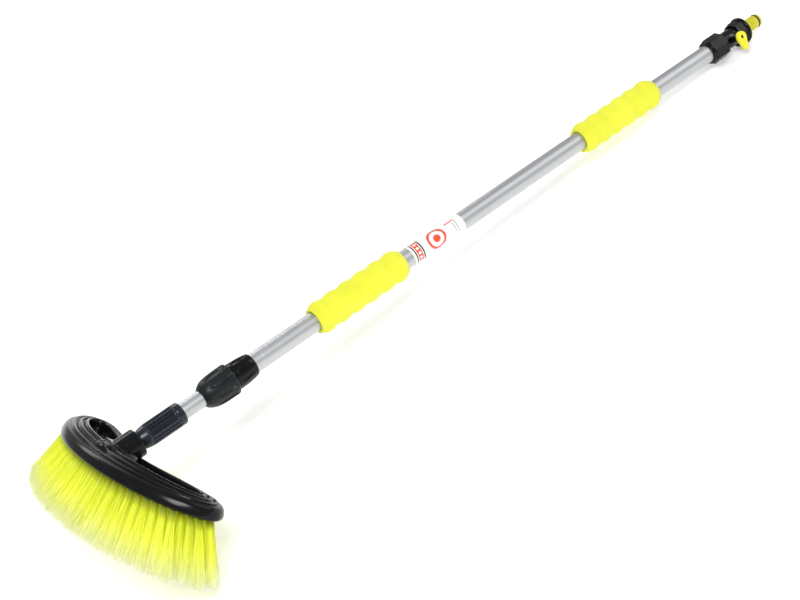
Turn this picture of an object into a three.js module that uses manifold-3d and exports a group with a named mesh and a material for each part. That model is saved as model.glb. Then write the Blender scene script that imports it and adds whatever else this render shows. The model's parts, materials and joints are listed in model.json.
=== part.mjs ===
// Telescopic water-fed wash brush: a crescent brush head on a two-section aluminium pole, with foam grips,
// a twist lock, and a quarter-turn ball valve with a push-fit hose connector at the far end.
// Millimetres. The pole runs along X from the head to the hose end; the part lies on the floor, +Z up.
import * as THREE from "three";
import { mergeVertices } from "three/addons/utils/BufferGeometryUtils.js";
import Module from "manifold-3d";

const wasm = await Module();
wasm.setup();

// ---------------------------------------------------------------- driving dimensions

const GAP = 0.3; // between pieces that touch
const SIDES = 20; // facets round a turned piece
const SMALL_SIDES = 12; // facets round a small turned piece

// Stations along the pole's axis, from a zero just behind the fluted coupling.
const HUB_MOUTH = -62.7; // open end of the head's hub
const COUPLING_END = -8.3; // pole side of the fluted coupling
const LOCK_NUT_START = 16.5;
const LOCK_NUT_END = 55.5;
const LOCK_BODY_END = 83.3;
const BEAD = 96;
const FRONT_FOAM = [167.5, 296];
const LABEL = [303, 379];
const REAR_FOAM = [572, 703];
const CLAMP_NUT = [798, 825];
const COLLAR = [848, 865];
const CONNECTOR_TIP = 895.5;

// Radii.
const OUTER_TUBE_R = 11;
const OUTER_TUBE_BORE = 10;
const INNER_TUBE_R = 9.2;
const INNER_TUBE_BORE = 8.2;
const HUB_R = 15.3;
const COUPLING_R = 12.5;
const LOCK_NUT_R = 18.1;
const LOCK_BODY_R = 15.2;
const LOCK_THREAD_R = 13.4;
const FOAM_CREST_R = 18.4;
const FOAM_VALLEY_R = 17.3;
const CLAMP_NUT_FLAT = 15.4; // axis to a flat
const CLAMP_BORE = 13.6; // room for the valve body's socket
const COLLAR_FLAT = 15; // axis to a flat
const COLLAR_RIM_R = 17.4;
const VALVE_BODY_R = 11.6;
const CONNECTOR_R = 8.4;
const WATER_BORE = 5;

// Brush head: a crescent, bent in plan round a centre on the pole's side.
const HEAD_HALF_LENGTH = 143; // along the bend
const HEAD_HALF_WIDTH = 41.5;
const HEAD_BEND_RADIUS = 220;
const HEAD_ROUNDNESS = 2.5; // exponent of the outline's superellipse
const HEAD_ANGLE = THREE.MathUtils.degToRad(44); // between the pole and the head's top normal
const HEAD_AXIS_STATION = -83; // where the pole's axis crosses the head's middle
const HEAD_AXIS_HEIGHT = 14; // height of that point over the rim
const CEILING = 5; // height of the water space over the rim
const PLATE_TOP = 3.2;
const PLATE_BOTTOM = -1;
const PLATE_INSET = 4.4;
const RIM_INSET = 4;

// Bristles.
const ROWS = 5;
const ROW_PITCH = 14;
const ROW_HALF_THICKNESS = 4.2;
const BRISTLE_LENGTH = 67;
const FAN_ANGLE = THREE.MathUtils.degToRad(23); // splay of the tufts at the head's ends
const LEAN_ANGLE = THREE.MathUtils.degToRad(14); // splay of the outer rows
const BRISTLE_SPREAD = 2.4; // half thickness that a row gains towards its tips

// Valve.
const BALL_STATION = 839;
const BALL_R = 8;
const STEM_TILT = THREE.MathUtils.degToRad(16.5); // stem's lift above the head's long direction
const LEVER_PLANE = 21.5; // axis to the underside of the lever
const LEVER_THICKNESS = 4.6;
const BODY_IN_COLLAR = 8; // how far the valve body reaches into the collar

// Slide: how much of the thin tube is inside the thick one.
const INNER_TUBE_END = 770;

// ---------------------------------------------------------------- shape helpers

// A closed geometry as a solid that can be joined and cut, with its faces pointing out.
function solid(geometry) {
  const bare = geometry.clone();
  bare.deleteAttribute("normal");
  bare.deleteAttribute("uv");
  const merged = mergeVertices(bare, 1e-4);
  const index = merged.index.array;
  const position = merged.attributes.position;
  const faces = [];
  let sixVolumes = 0;
  const [a, b, c] = [new THREE.Vector3(), new THREE.Vector3(), new THREE.Vector3()];
  for (let i = 0; i < index.length; i += 3) {
    const [p, q, r] = [index[i], index[i + 1], index[i + 2]];
    if (p === q || q === r || r === p) continue;
    faces.push([p, q, r]);
    a.fromBufferAttribute(position, p);
    b.fromBufferAttribute(position, q);
    c.fromBufferAttribute(position, r);
    sixVolumes += a.dot(b.cross(c));
  }
  const outward = sixVolumes > 0 ? faces : faces.map(([p, q, r]) => [p, r, q]);
  return new wasm.Manifold(
    new wasm.Mesh({
      numProp: 3,
      vertProperties: new Float32Array(position.array),
      triVerts: new Uint32Array(outward.flat()),
    }),
  );
}

// A solid's surface as a geometry.
function surface(body) {
  const mesh = body.getMesh();
  const positions = new Float32Array(mesh.numVert * 3);
  for (let i = 0; i < mesh.numVert; i++) {
    positions.set(mesh.vertProperties.subarray(i * mesh.numProp, i * mesh.numProp + 3), i * 3);
  }
  const geometry = new THREE.BufferGeometry();
  geometry.setAttribute("position", new THREE.BufferAttribute(positions, 3));
  geometry.setIndex(new THREE.BufferAttribute(mesh.triVerts, 1));
  geometry.computeVertexNormals();
  return geometry;
}

// Turned round the pole's axis: the profile is a closed loop of [station, radius].
function turned(profile, sides = SIDES) {
  const loop = [...profile, profile[0]].map(([x, r]) => new THREE.Vector2(r, x));
  return new THREE.LatheGeometry(loop, sides).rotateZ(-Math.PI / 2);
}

// A ring with square corners.
function ring(start, end, inner, outer, sides = SIDES) {
  return turned([[start, inner], [end, inner], [end, outer], [start, outer]], sides);
}

// A rod along the pole's axis.
function rod(start, end, radius, sides = SIDES) {
  return turned([[start, 0], [end, 0], [end, radius], [start, radius]], sides);
}

// A prism along the pole's axis with chamfered ends; corners are [y, z].
function prism(start, end, corners, chamfer) {
  const outline = new THREE.Shape(corners.map(([y, z]) => new THREE.Vector2(y, z)));
  const geometry = new THREE.ExtrudeGeometry(outline, {
    depth: end - start - 2 * chamfer,
    bevelThickness: chamfer,
    bevelSize: chamfer,
    bevelOffset: -chamfer,
    bevelSegments: 1,
  });
  return geometry.applyMatrix4(
    new THREE.Matrix4().set(0, 0, 1, start + chamfer, 1, 0, 0, 0, 0, 1, 0, 0, 0, 0, 0, 1),
  );
}

// Corners of a regular polygon.
function polygonCorners(flat, sides) {
  const radius = flat / Math.cos(Math.PI / sides);
  const angles = Array.from({ length: sides }, (_, i) => (2 * Math.PI * (i + 0.5)) / sides);
  return angles.map((angle) => [radius * Math.cos(angle), radius * Math.sin(angle)]);
}

// ---------------------------------------------------------------- the head's own space

// Straight head coordinates (along, across, up) bent into the crescent.
function bend(along, across, up) {
  const angle = along / HEAD_BEND_RADIUS;
  const radius = HEAD_BEND_RADIUS - across;
  return [HEAD_BEND_RADIUS - radius * Math.cos(angle), radius * Math.sin(angle), up];
}

// From the head's own axes to the pole's: Z is the head's top normal, X points to the pole's side.
const headToPole = new THREE.Matrix4()
  .makeTranslation(
    HEAD_AXIS_STATION - HEAD_AXIS_HEIGHT * Math.cos(HEAD_ANGLE),
    0,
    -HEAD_AXIS_HEIGHT * Math.sin(HEAD_ANGLE),
  )
  .multiply(new THREE.Matrix4().makeRotationY(Math.PI / 2 - HEAD_ANGLE));

// Rings of equally many points, joined in order, with the first and last ring closed by cross strips.
function loft(rings) {
  const count = rings[0].length;
  const triangles = [];
  for (let k = 0; k + 1 < rings.length; k++) {
    for (let i = 0; i < count; i++) {
      const j = (i + 1) % count;
      const [p, q, r, s] = [k * count + i, k * count + j, (k + 1) * count + j, (k + 1) * count + i];
      triangles.push(p, q, r, p, r, s);
    }
  }
  for (const [first, flipped] of [[0, true], [(rings.length - 1) * count, false]]) {
    for (let i = 0; i < count / 2 - 1; i++) {
      const [p, q, r, s] = [i, i + 1, count - 2 - i, count - 1 - i].map((v) => v + first);
      const strip = flipped ? [p, r, q, p, s, r] : [p, q, r, p, r, s];
      triangles.push(...strip);
    }
  }
  const geometry = new THREE.BufferGeometry();
  geometry.setAttribute("position", new THREE.Float32BufferAttribute(rings.flat(2), 3));
  geometry.setIndex(triangles);
  return geometry.applyMatrix4(headToPole);
}

// One ring of the crescent: the outline moved in by an inset, at a height, each given as [front, tip, back].
// The back is the pole's side. A ring starts beside one tip, so that point i faces point count-1-i.
function crescent([front, tip, back], [frontUp, tipUp, backUp], count = 36) {
  const points = [];
  const power = 2 / HEAD_ROUNDNESS;
  for (let i = 0; i < count; i++) {
    const angle = (2 * Math.PI * (i + 0.5)) / count;
    const [c, s] = [Math.cos(angle), Math.sin(angle)];
    const halfWidth = HEAD_HALF_WIDTH - (s > 0 ? back : front);
    const along = (HEAD_HALF_LENGTH - tip) * Math.sign(c) * Math.abs(c) ** power;
    const across = halfWidth * Math.sign(s) * Math.abs(s) ** power;
    const side = THREE.MathUtils.smoothstep(across, -HEAD_HALF_WIDTH, HEAD_HALF_WIDTH);
    const middleUp = THREE.MathUtils.lerp(frontUp, backUp, side);
    points.push(bend(along, across, THREE.MathUtils.lerp(middleUp, tipUp, (along / HEAD_HALF_LENGTH) ** 2)));
  }
  return points;
}

const even = (value) => [value, value, value];

// ---------------------------------------------------------------- materials

function plastic(color, roughness) {
  return new THREE.MeshStandardMaterial({ color, roughness, metalness: 0 });
}
const black = () => plastic("#151617", 0.35);
const charcoal = () => plastic("#2b2e31", 0.6);
const slate = () => plastic("#232a36", 0.45);
const nylon = () => plastic("#e4e2da", 0.5);
const rubber = () => plastic("#101010", 0.8);
const yellow = () => plastic("#e0dc28", 0.45);
const foam = () => plastic("#eef03a", 0.9);
const bristle = () => plastic("#d4ee3c", 0.7);
const aluminium = () => new THREE.MeshStandardMaterial({ color: "#c9cbcd", roughness: 0.35, metalness: 1 });
const chrome = () => new THREE.MeshStandardMaterial({ color: "#d8dadc", roughness: 0.12, metalness: 1 });

const pole = new THREE.Group();

// A piece from a solid, or from a closed geometry.
function add(name, shape, material) {
  const body = shape.isBufferGeometry ? solid(shape) : shape;
  const mesh = new THREE.Mesh(surface(body), material);
  mesh.name = name;
  pole.add(mesh);
}

// ---------------------------------------------------------------- brush head

// The cover's section from its underside to the floor of its recess: a skirt, then ridges that step up
// to the front of the recess. Each line is an inset and a height, as [front, tip, back].
const COVER_SECTION = [
  [even(RIM_INSET), even(CEILING)],
  [even(RIM_INSET), even(0)],
  [even(1.5), even(0)],
  [even(0), even(3.6)],
  [[1, 1.2, 1.5], [8.5, 8.8, 8.5]],
  [[5.5, 6, 7], [13, 13, 13]],
  [[7.5, 7.8, 8.5], [12.8, 13.2, 13.4]],
  [[9.5, 9.7, 10], [16, 15, 14.2]],
  [[11.5, 11.5, 10.6], [15.9, 15, 14]],
  [[12.5, 12.5, 11], [13.2, 13.6, 13.9]],
  [[17.5, 17.5, 12], [19, 16.2, 14.4]],
  [[19, 19, 12.4], [18.9, 16.2, 14.3]],
  [[20, 20, 12.8], [14.6, 14, 14.2]],
  [[24.5, 24.5, 13.4], [22, 16.8, 14.5]],
  [[26.5, 26, 14.2], [21.9, 16.8, 14.5]],
  [[27.5, 27.5, 15], even(7)],
];

function addHead() {
  const shell = solid(loft(COVER_SECTION.map(([inset, up]) => crescent(inset, up))));
  const waterSpace = solid(
    loft([crescent(even(RIM_INSET), even(-60)), crescent(even(RIM_INSET), even(CEILING))]),
  );
  const hub = solid(rod(HUB_MOUTH - 37.3, HUB_MOUTH, HUB_R)).subtract(waterSpace);
  const socket = solid(rod(HUB_MOUTH - 16, HUB_MOUTH + 5, 9.7));
  const passage = solid(rod(HUB_MOUTH - 40, HUB_MOUTH - 10, 4, SMALL_SIDES));
  add("brush_head_cover", shell.add(hub).subtract(socket).subtract(passage), black());

  const plateRings = [PLATE_BOTTOM, PLATE_TOP].map((up) => crescent(even(PLATE_INSET), even(up)));
  let plate = solid(loft(plateRings));
  for (const along of [-96, -48, 0, 48, 96]) {
    for (const across of [-ROW_PITCH / 2, ROW_PITCH / 2]) {
      const hole = new THREE.CylinderGeometry(1.6, 1.6, 12, 12).rotateX(Math.PI / 2);
      hole.translate(...bend(along, across, 0)).applyMatrix4(headToPole);
      plate = plate.subtract(solid(hole));
    }
  }
  add("brush_head_base", plate, black());
}

// One row of tufts as a closed slab that splays along and across the head.
function bristleRow(across) {
  const power = HEAD_ROUNDNESS;
  const reach = (1 - Math.abs(across / HEAD_HALF_WIDTH) ** power) ** (1 / power);
  const halfLength = HEAD_HALF_LENGTH * reach - 9;
  const lean = (across / (ROW_PITCH * 2)) * LEAN_ANGLE;
  const steps = 11;
  const ringAt = (depth) => {
    const half = ROW_HALF_THICKNESS + (BRISTLE_SPREAD * depth) / BRISTLE_LENGTH;
    const points = [];
    for (let i = 0; i < 2 * steps; i++) {
      const forward = i < steps;
      const part = (forward ? i : 2 * steps - 1 - i) / (steps - 1);
      const along = halfLength * (1 - 2 * part);
      const fan = (along / HEAD_HALF_LENGTH) * FAN_ANGLE;
      points.push(
        bend(
          along + depth * Math.sin(fan),
          across + depth * Math.sin(lean) + (forward ? half : -half),
          PLATE_BOTTOM - GAP - depth * Math.cos(fan) * Math.cos(lean),
        ),
      );
    }
    return points;
  };
  return loft([ringAt(0), ringAt(BRISTLE_LENGTH / 2), ringAt(BRISTLE_LENGTH)]);
}

function addBristles() {
  for (let row = 0; row < ROWS; row++) {
    const across = (row - (ROWS - 1) / 2) * ROW_PITCH;
    add("bristle_row_" + (row + 1), bristleRow(across), bristle());
  }
}

// ---------------------------------------------------------------- coupling between head and pole

function addCoupling() {
  const shoulder = HUB_MOUTH + 14; // where the coupling closes in behind the tube's end
  const noseEnd = HUB_MOUTH - 12.6;
  add(
    "head_coupling_nut",
    turned([
      [noseEnd, 5.7],
      [shoulder, 5.7],
      [shoulder, INNER_TUBE_R + GAP],
      [COUPLING_END, INNER_TUBE_R + GAP],
      [COUPLING_END, 11],
      [COUPLING_END - 2, COUPLING_R - 0.3],
      [COUPLING_END - 5, COUPLING_R],
      [HUB_MOUTH + 11, COUPLING_R - 0.2],
      [HUB_MOUTH + 5, 11.4],
      [HUB_MOUTH + 0.4, 10.1],
      [HUB_MOUTH + 0.4, 9.3],
      [noseEnd, 9.3],
    ]),
    slate(),
  );
  add("head_washer", ring(HUB_MOUTH - 15.6, noseEnd - GAP, 5.8, 9.3), rubber());
  const tubeMouth = shoulder + 3.2;
  add(
    "tube_spigot",
    turned(
      [
        [noseEnd, 3.6],
        [tubeMouth + 14, 3.6],
        [tubeMouth + 14, INNER_TUBE_BORE - GAP],
        [tubeMouth, INNER_TUBE_BORE - GAP],
        [tubeMouth, INNER_TUBE_R - 0.2],
        [shoulder + GAP, INNER_TUBE_R - 0.2],
        [shoulder + GAP, 5.3],
        [noseEnd, 5.3],
      ],
      SMALL_SIDES,
    ),
    nylon(),
  );
  add("inner_tube", ring(tubeMouth + GAP, INNER_TUBE_END, INNER_TUBE_BORE, INNER_TUBE_R), aluminium());
}

// ---------------------------------------------------------------- piston at the thin tube's hidden end

function addPiston() {
  const face = INNER_TUBE_END + GAP;
  const grooveFloor = OUTER_TUBE_BORE - 2.2;
  const land = OUTER_TUBE_BORE - 0.35;
  const seals = [
    [face + 3, face + 5.6],
    [face + 8, face + 10.6],
  ];
  const grooves = seals.flatMap(([start, end]) => [
    [start - GAP, land],
    [start - GAP, grooveFloor],
    [end + GAP, grooveFloor],
    [end + GAP, land],
  ]);
  add(
    "piston_bush",
    turned([
      [face - 12, 5],
      [face + 14, 5],
      [face + 14, land],
      ...grooves.reverse(),
      [face, land],
      [face, INNER_TUBE_BORE - GAP],
      [face - 12, INNER_TUBE_BORE - GAP],
    ]),
    nylon(),
  );
  seals.forEach(([start, end], i) => {
    const name = i === 0 ? "piston_seal_front" : "piston_seal_rear";
    add(name, ring(start, end, grooveFloor + 0.2, OUTER_TUBE_BORE - 0.2), rubber());
  });
}

// ---------------------------------------------------------------- twist lock

function addLock() {
  const lipEnd = LOCK_NUT_START + 4;
  const colletStart = lipEnd + 1.6;
  const bodyStart = LOCK_NUT_START + 17;
  const sealSeat = bodyStart + 4.4;
  const tubeStop = sealSeat + 3;
  add(
    "lock_nut",
    turned([
      [LOCK_NUT_START, INNER_TUBE_R + 0.4],
      [lipEnd, INNER_TUBE_R + 0.4],
      [LOCK_NUT_START + 12, LOCK_THREAD_R + 0.5],
      [LOCK_NUT_END, LOCK_THREAD_R + 0.5],
      [LOCK_NUT_END, LOCK_NUT_R - 0.7],
      [LOCK_NUT_END - 2, LOCK_NUT_R],
      [LOCK_NUT_START + 22, LOCK_NUT_R - 0.1],
      [LOCK_NUT_START + 12, LOCK_NUT_R - 1.1],
      [LOCK_NUT_START + 6, LOCK_NUT_R - 3.2],
      [LOCK_NUT_START + 2, LOCK_NUT_R - 5.8],
      [LOCK_NUT_START, LOCK_NUT_R - 7.8],
    ]),
    charcoal(),
  );
  let collet = solid(
    turned([
      [colletStart, INNER_TUBE_R + 0.3],
      [bodyStart - GAP, INNER_TUBE_R + 0.3],
      [bodyStart - GAP, LOCK_THREAD_R - 0.4],
      [LOCK_NUT_START + 12.4, LOCK_THREAD_R - 0.4],
      [colletStart, INNER_TUBE_R + 0.9],
    ]),
  );
  for (const turn of [0, 1]) {
    const slot = new THREE.BoxGeometry(18, 1.6, 40).rotateX((turn * Math.PI) / 2);
    slot.translate(bodyStart - GAP - 4 - 9, 0, 0);
    collet = collet.subtract(solid(slot));
  }
  add("lock_collet", collet, nylon());
  add("lock_seal", ring(bodyStart + 0.8, sealSeat - GAP, INNER_TUBE_R + 0.15, 12), rubber());
  add(
    "lock_body",
    turned([
      [bodyStart, 12.4],
      [sealSeat, 12.4],
      [sealSeat, INNER_TUBE_R + 0.35],
      [tubeStop, INNER_TUBE_R + 0.35],
      [tubeStop, OUTER_TUBE_R + GAP],
      [LOCK_BODY_END, OUTER_TUBE_R + GAP],
      [LOCK_BODY_END, 12.2],
      [LOCK_BODY_END - 2.5, 13.2],
      [LOCK_BODY_END - 14, 14.6],
      [LOCK_NUT_END + 2, LOCK_BODY_R],
      [LOCK_NUT_END + GAP, LOCK_BODY_R],
      [LOCK_NUT_END + GAP, LOCK_THREAD_R],
      [bodyStart, LOCK_THREAD_R],
    ]),
    black(),
  );
  return tubeStop + GAP;
}

// ---------------------------------------------------------------- thick tube, grips and label

function addOuterTube(start, end) {
  add(
    "outer_tube",
    turned([
      [start, OUTER_TUBE_BORE],
      [end, OUTER_TUBE_BORE],
      [end, OUTER_TUBE_R],
      [BEAD + 2.4, OUTER_TUBE_R],
      [BEAD + 0.8, OUTER_TUBE_R + 0.45],
      [BEAD - 0.8, OUTER_TUBE_R + 0.45],
      [BEAD - 2.4, OUTER_TUBE_R],
      [start, OUTER_TUBE_R],
    ]),
    aluminium(),
  );
  const grips = [["front_foam_grip", FRONT_FOAM], ["rear_foam_grip", REAR_FOAM]];
  for (const [name, [from, to]] of grips) {
    const waves = 6;
    const pitch = (to - from - 8) / (2 * waves);
    const outside = [];
    for (let i = 0; i <= 2 * waves; i++) {
      outside.push([from + 4 + i * pitch, i % 2 ? FOAM_CREST_R : FOAM_VALLEY_R]);
    }
    add(
      name,
      turned([
        [to, OUTER_TUBE_R + GAP],
        [from, OUTER_TUBE_R + GAP],
        [from, FOAM_VALLEY_R - 2],
        ...outside,
        [to, FOAM_VALLEY_R - 2],
      ]),
      foam(),
    );
  }
  add("label_sleeve", ring(LABEL[0], LABEL[1], OUTER_TUBE_R + 0.12, OUTER_TUBE_R + 0.35), plastic("#f2f2f0", 0.4));
}

// ---------------------------------------------------------------- tube end fitting

function addTubeClamp() {
  const [start, end] = CLAMP_NUT;
  const lip = start + 4;
  const socketMouth = start + 14;
  const facets = solid(prism(start + 4, end, polygonCorners(CLAMP_NUT_FLAT, 8), 1));
  const collarRing = solid(rod(start, start + 6, CLAMP_NUT_FLAT - 0.4));
  const bore = solid(
    turned([
      [start - 5, 0],
      [end + 5, 0],
      [end + 5, CLAMP_BORE],
      [lip, CLAMP_BORE],
      [lip, OUTER_TUBE_R + 0.4],
      [start - 5, OUTER_TUBE_R + 0.4],
    ]),
  );
  add("tube_clamp_nut", facets.add(collarRing).subtract(bore), black());
  const grip = solid(ring(lip + GAP, lip + 5, OUTER_TUBE_R + 0.15, CLAMP_BORE - 0.4));
  const split = solid(new THREE.BoxGeometry(20, 2.4, 20).translate(lip, 0, 12));
  add("tube_grip_ring", grip.subtract(split), nylon());
  add("tube_seal", ring(lip + 5.4, socketMouth - GAP, OUTER_TUBE_R + 0.2, CLAMP_BORE - 0.5), rubber());
  return socketMouth;
}

// ---------------------------------------------------------------- ball valve

// Turned round the stem's axis: the profile is a closed loop of [distance from the pole's axis, radius].
const stemFrame = new THREE.Matrix4()
  .makeTranslation(BALL_STATION, 0, 0)
  .multiply(new THREE.Matrix4().makeRotationX(Math.PI / 2 - STEM_TILT));
function turnedOnStem(profile, sides = SMALL_SIDES) {
  const loop = [...profile, profile[0]].map(([h, r]) => new THREE.Vector2(r, h));
  return new THREE.LatheGeometry(loop, sides).rotateX(Math.PI / 2).applyMatrix4(stemFrame);
}

function addValve(socketMouth) {
  const tubeEndStop = CLAMP_NUT[0] + 26;
  const chamberStart = BALL_STATION - BALL_R - 3;
  const chamberEnd = BALL_STATION + BALL_R + 4;
  const bodyEnd = COLLAR[0] + BODY_IN_COLLAR;
  const bossEnd = LEVER_PLANE - GAP - 0.2;
  const inside = turned([
    [socketMouth - 5, 0],
    [bodyEnd + 5, 0],
    [bodyEnd + 5, 9.2],
    [chamberStart, 9.2],
    [chamberStart, WATER_BORE],
    [tubeEndStop, WATER_BORE],
    [tubeEndStop, OUTER_TUBE_R + GAP],
    [socketMouth - 5, OUTER_TUBE_R + GAP],
  ]);
  const outside = turned([
    [socketMouth, 0],
    [bodyEnd, 0],
    [bodyEnd, 12.4],
    [COLLAR[0] + 3, 12.4],
    [COLLAR[0] + 1, VALVE_BODY_R],
    [CLAMP_NUT[1] + 1.2, VALVE_BODY_R],
    [CLAMP_NUT[1] - 0.4, CLAMP_BORE - 0.4],
    [socketMouth, CLAMP_BORE - 0.4],
  ]);
  const boss = turnedOnStem([[0, 0], [bossEnd, 0], [bossEnd, 5.8], [bossEnd - 2, 6.6], [0, 6.6]]);
  const stemBore = turnedOnStem([[4, 0], [30, 0], [30, 4.6], [15, 4.6], [15, 3.1], [4, 3.1]]);
  const body = solid(outside).add(solid(boss)).subtract(solid(inside)).subtract(solid(stemBore));
  add("valve_body", body, black());

  const slotDepth = 2.2;
  const ball = solid(new THREE.SphereGeometry(BALL_R, 16, 10).applyMatrix4(stemFrame));
  const port = solid(new THREE.CylinderGeometry(4, 4, 30, SMALL_SIDES).applyMatrix4(stemFrame));
  const slot = new THREE.BoxGeometry(3, 20, 2 * slotDepth).translate(0, 0, BALL_R).applyMatrix4(stemFrame);
  add("valve_ball", ball.subtract(port).subtract(solid(slot)), chrome());
  const seats = [
    ["ball_seat_front", chamberStart + GAP, BALL_STATION - 5.4],
    ["ball_seat_rear", BALL_STATION + 5.4, chamberEnd],
  ];
  for (const [name, from, to] of seats) {
    add(name, ring(from, to, 6.9, 8.9, SMALL_SIDES), nylon());
  }

  const tongue = new THREE.BoxGeometry(2.2, 5.4, 4).translate(0, 0, BALL_R - slotDepth + 2.4);
  const stem = solid(
    turnedOnStem([[BALL_R + 0.6, 0], [LEVER_PLANE + 2.6, 0], [LEVER_PLANE + 2.6, 2.8], [BALL_R + 0.6, 2.8]]),
  ).add(solid(tongue.applyMatrix4(stemFrame)));
  add("valve_stem", stem, nylon());
  add("stem_oring", turnedOnStem([[15.4, 3.05], [17.6, 3.05], [17.6, 4.35], [15.4, 4.35]]), rubber());
  addLever();
}

// The lever lies across the pole at rest: its blade points down and outwards from the stem.
function addLever() {
  const outline = new THREE.Shape();
  const [hubR, tipR, reach] = [7.4, 4.2, 13];
  const taper = Math.asin((hubR - tipR) / reach);
  outline.absarc(0, 0, hubR, taper, Math.PI - taper, false);
  outline.absarc(0, -reach, tipR, Math.PI - taper, 2 * Math.PI + taper, false);
  const plate = new THREE.ExtrudeGeometry(outline, {
    depth: LEVER_THICKNESS - 1.2,
    bevelThickness: 0.6,
    bevelSize: 0.6,
    bevelOffset: -0.6,
    bevelSegments: 1,
    curveSegments: 8,
  });
  plate.translate(0, 0, LEVER_PLANE + 0.6).applyMatrix4(stemFrame);
  const top = LEVER_PLANE + LEVER_THICKNESS;
  const socket = turnedOnStem([
    [LEVER_PLANE - 2, 0],
    [LEVER_PLANE + 2.8, 0],
    [LEVER_PLANE + 2.8, 3.1],
    [LEVER_PLANE - 2, 3.1],
  ]);
  const recess = turnedOnStem([[top - 1.6, 0], [top + 3, 0], [top + 3, 2.6], [top - 1.6, 2.6]]);
  const lever = solid(plate).subtract(solid(socket)).subtract(solid(recess));
  add("valve_lever", lever, yellow());
  add("lever_screw", turnedOnStem([[top - 1.3, 0], [top - 0.3, 0], [top - 0.3, 2.2], [top - 1.3, 2.2]]), chrome());
}

// ---------------------------------------------------------------- hose connector

function addConnector() {
  const [start, end] = COLLAR;
  const bodyEnd = start + BODY_IN_COLLAR;
  const flangeEnd = end - 3;
  const facets = solid(prism(start, end - 2, polygonCorners(COLLAR_FLAT, 8), 1.4));
  const rim = turned([
    [end - 5, 0],
    [end, 0],
    [end, COLLAR_RIM_R - 1],
    [end - 1, COLLAR_RIM_R],
    [end - 3.4, COLLAR_RIM_R],
    [end - 5, COLLAR_RIM_R - 1.8],
  ]);
  const bore = solid(
    turned([
      [start - 5, 0],
      [end + 5, 0],
      [end + 5, CONNECTOR_R + 0.4],
      [flangeEnd + GAP, CONNECTOR_R + 0.4],
      [flangeEnd + GAP, 12.8],
      [start - 5, 12.8],
    ]),
  );
  add("outlet_collar", facets.add(solid(rim)).subtract(bore), black());
  add("connector_washer", ring(bodyEnd + GAP, bodyEnd + 2.2, 6, 12), rubber());
  const groove = CONNECTOR_TIP - 7;
  add(
    "hose_connector",
    turned([
      [bodyEnd + 2.5, WATER_BORE],
      [CONNECTOR_TIP, WATER_BORE],
      [CONNECTOR_TIP, CONNECTOR_R - 1.6],
      [CONNECTOR_TIP - 1.6, CONNECTOR_R - 0.4],
      [groove + 3, CONNECTOR_R - 0.4],
      [groove + 3, CONNECTOR_R - 1.8],
      [groove, CONNECTOR_R - 1.8],
      [groove, CONNECTOR_R],
      [groove - 10, CONNECTOR_R],
      [groove - 12, CONNECTOR_R - 1.2],
      [groove - 15, CONNECTOR_R - 1.2],
      [groove - 17, CONNECTOR_R],
      [flangeEnd, CONNECTOR_R],
      [flangeEnd, 12.4],
      [bodyEnd + 2.5, 12.4],
    ]),
    yellow(),
  );
  add("connector_oring", ring(groove + 0.2, groove + 2.8, CONNECTOR_R - 1.6, CONNECTOR_R + 0.4), rubber());
}

// ---------------------------------------------------------------- assembly

addHead();
addBristles();
addCoupling();
addPiston();
const tubeStart = addLock();
addOuterTube(tubeStart, CLAMP_NUT[0] + 26 - GAP);
const socketMouth = addTubeClamp();
addValve(socketMouth);
addConnector();

// All vertices as [x, z] in the pole's frame.
function sideView() {
  const points = [];
  pole.traverse((mesh) => {
    if (!mesh.isMesh) return;
    const position = mesh.geometry.attributes.position;
    for (let i = 0; i < position.count; i++) points.push([position.getX(i), position.getZ(i)]);
  });
  return points;
}

// Lean of the pole when its bristle tips and its far fitting both touch the floor.
function restingLean() {
  const points = sideView();
  const height = ([x, z], lean) => -x * Math.sin(lean) + z * Math.cos(lean);
  let lean = 0;
  for (let round = 0; round < 4; round++) {
    const lowest = (side) => side.reduce((best, p) => (height(p, lean) < height(best, lean) ? p : best));
    const near = lowest(points.filter(([x]) => x < 0));
    const far = lowest(points.filter(([x]) => x > CLAMP_NUT[0]));
    lean = Math.atan2(far[1] - near[1], far[0] - near[0]);
  }
  return lean;
}

pole.rotation.y = restingLean();
const model = new THREE.Group();
model.add(pole);
model.updateMatrixWorld(true);
const box = new THREE.Box3().setFromObject(model, true);
const centre = box.getCenter(new THREE.Vector3());
pole.position.set(-centre.x, -centre.y, -box.min.z);

export default model;
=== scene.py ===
"""Looks of a telescopic water-fed wash brush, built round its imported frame.

Shapes are written in millimetres in the pole's own frame: X along the pole from the head to the hose end,
Y along the head, Z up, with zero just behind the fluted coupling.
"""

import json
import math

import bmesh
import bpy
import numpy as np
from mathutils import Matrix, Vector


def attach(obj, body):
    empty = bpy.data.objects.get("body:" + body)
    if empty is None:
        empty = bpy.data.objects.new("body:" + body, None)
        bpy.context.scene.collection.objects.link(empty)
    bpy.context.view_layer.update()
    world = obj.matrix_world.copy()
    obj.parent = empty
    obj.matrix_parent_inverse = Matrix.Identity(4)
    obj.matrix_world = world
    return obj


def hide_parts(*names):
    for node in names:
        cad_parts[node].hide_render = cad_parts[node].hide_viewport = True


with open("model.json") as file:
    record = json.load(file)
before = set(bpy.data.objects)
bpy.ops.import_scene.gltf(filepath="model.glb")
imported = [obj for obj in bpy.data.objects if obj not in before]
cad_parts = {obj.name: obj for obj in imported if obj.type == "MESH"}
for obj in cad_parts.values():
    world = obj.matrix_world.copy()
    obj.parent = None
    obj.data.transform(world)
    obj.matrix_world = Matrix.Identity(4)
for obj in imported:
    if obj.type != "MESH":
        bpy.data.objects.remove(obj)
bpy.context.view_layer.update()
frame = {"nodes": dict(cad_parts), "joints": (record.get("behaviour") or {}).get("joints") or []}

# ---------------------------------------------------------------- the pole's frame

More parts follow.
